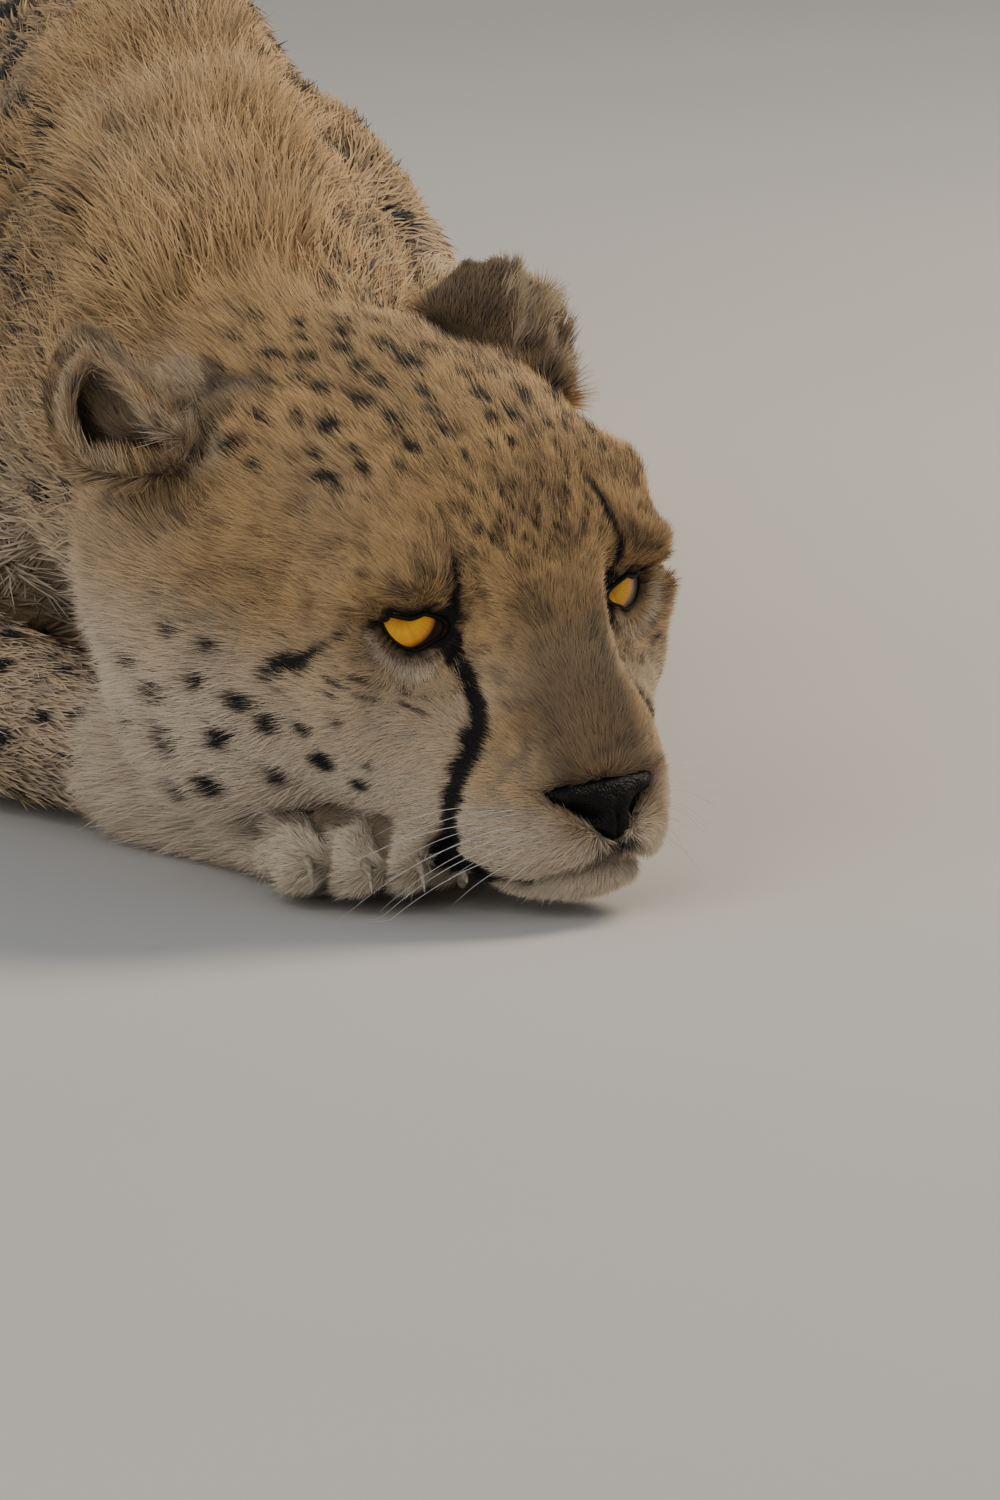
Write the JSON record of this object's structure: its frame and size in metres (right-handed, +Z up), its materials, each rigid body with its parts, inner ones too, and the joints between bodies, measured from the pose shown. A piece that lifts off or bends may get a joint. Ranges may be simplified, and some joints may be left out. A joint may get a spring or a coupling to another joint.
{
  "type": "cheetah",
  "caption": "Life-size still cheetah in a low crouch, chin on the floor and head turned to its left, forelegs out in front and hind legs folded beside the belly.",
  "frame": {"origin": "on the floor under the withers, on the flat where the chest rests", "axes": "+Z up; the body faces -Y and its left side is +X"},
  "size_m": [0.6635, 1.4149, 0.2363],
  "materials": {
    "coat": "short dense fur, tawny gold above and cream below, with solid black spots",
    "eye": "wet amber eye with a round black pupil",
    "nose_leather": "bare black nose leather, finely pebbled, slightly moist",
    "claw_horn": "dull grey-brown horn, paler towards the tip"
  },
  "bodies": {
    "root": {"chest": "coat", "claw_fore_left_1": "claw_horn", "claw_fore_left_2": "claw_horn", "claw_fore_left_3": "claw_horn", "claw_fore_left_4": "claw_horn", "claw_fore_right_1": "claw_horn", "claw_fore_right_2": "claw_horn", "claw_fore_right_3": "claw_horn", "claw_fore_right_4": "claw_horn", "claw_hind_left_1": "claw_horn", "claw_hind_left_2": "claw_horn", "claw_hind_left_3": "claw_horn", "claw_hind_left_4": "claw_horn", "claw_hind_right_1": "claw_horn", "claw_hind_right_2": "claw_horn", "claw_hind_right_3": "claw_horn", "claw_hind_right_4": "claw_horn", "dewclaw_fore_left": "claw_horn", "dewclaw_fore_right": "claw_horn", "ear_left": "coat", "ear_right": "coat", "eye_left": "eye", "eye_right": "eye", "fore_paw_left": "coat", "fore_paw_right": "coat", "forearm_left": "coat", "forearm_right": "coat", "head": "coat", "hind_foot_left": "coat", "hind_foot_right": "coat", "loin": "coat", "neck": "coat", "nose_pad": "nose_leather", "rump": "coat", "tail_base": "coat", "tail_mid": "coat", "tail_tip": "coat", "thigh_left": "coat", "thigh_right": "coat", "upper_arm_left": "coat", "upper_arm_right": "coat"}
  },
  "joints": []
}
